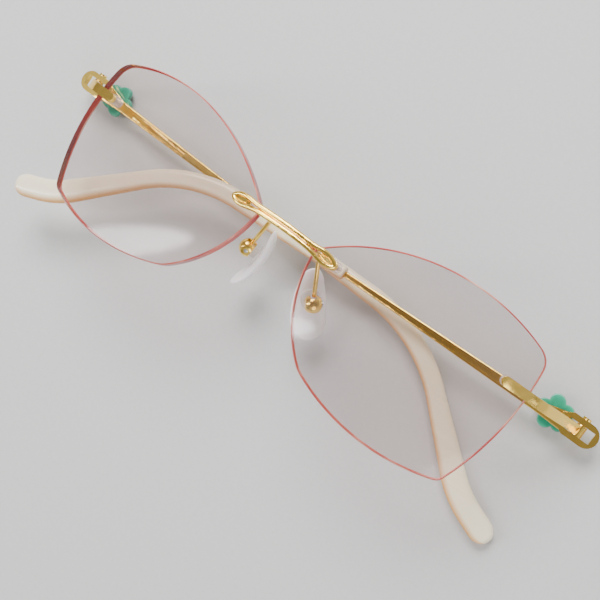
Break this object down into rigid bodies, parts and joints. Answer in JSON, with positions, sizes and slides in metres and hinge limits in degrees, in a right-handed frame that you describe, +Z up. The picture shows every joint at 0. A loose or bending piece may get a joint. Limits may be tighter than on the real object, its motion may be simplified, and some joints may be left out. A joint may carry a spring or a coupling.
{
  "type": "rimless eyeglasses",
  "caption": "Rimless eyeglasses, folded: drilled lenses, two-strand bridge, hinged temples with flowers and long ivory tips, screw-in nose pads.",
  "frame": {"origin": "bottom centre of the folded glasses, on the table", "axes": "+Z up out of the front of the lenses, +Y towards the brow, +X towards the wearer's left"},
  "size_m": [0.1468, 0.044, 0.0283],
  "materials": {
    "gold": "polished gold plating",
    "lens": "clear, faintly tinted, polished",
    "ivory": "ivory coloured, polished",
    "jade": "green, polished stone",
    "silicone": "milky translucent silicone",
    "clear_plastic": "clear",
    "steel": "polished"
  },
  "bodies": {
    "front": {"lens_left": "lens", "lens_right": "lens", "bridge": "gold", "hinge_screws": "gold", "pad_screws": "steel", "bridge_bush_left": "clear_plastic", "bridge_bush_right": "clear_plastic", "endpiece_bush_left": "clear_plastic", "endpiece_bush_right": "clear_plastic", "endpiece_left": "gold", "endpiece_right": "gold", "pad_box_left": "gold", "pad_box_right": "gold", "pad_arm_left": "gold", "pad_arm_right": "gold"},
    "left_temple": {"temple_arm_left": "gold", "temple_tip_left": "ivory", "flower_left": "jade", "flower_collar_left": "gold", "flower_rivet_left": "gold"},
    "right_temple": {"temple_arm_right": "gold", "temple_tip_right": "ivory", "flower_right": "jade", "flower_collar_right": "gold", "flower_rivet_right": "gold"},
    "left_pad": {"pad_insert_left": "clear_plastic", "nose_pad_left": "silicone"},
    "right_pad": {"pad_insert_right": "clear_plastic", "nose_pad_right": "silicone"}
  },
  "joints": [
    {"name": "left_hinge", "type": "hinge", "parent": "front", "child": "left_temple", "pos_m": [0.0692, 0.01018, 0.00437], "axis": [0, -1, 0], "range_deg": [0, 93]},
    {"name": "right_hinge", "type": "hinge", "parent": "front", "child": "right_temple", "pos_m": [-0.0692, 0.01018, 0.00437], "axis": [0, 1, 0], "range_deg": [0, 88.8]},
    {"name": "left_pad_rock", "type": "hinge", "parent": "front", "child": "left_pad", "pos_m": [0.0103, -0.00072, 0.01251], "axis": [0.7084, 0.538, -0.4568], "range_deg": [-10, 10]},
    {"name": "right_pad_rock", "type": "hinge", "parent": "front", "child": "right_pad", "pos_m": [-0.0092, 0.00078, 0.01251], "axis": [0.2803, -0.4743, 0.8346], "range_deg": [-10, 10]}
  ]
}
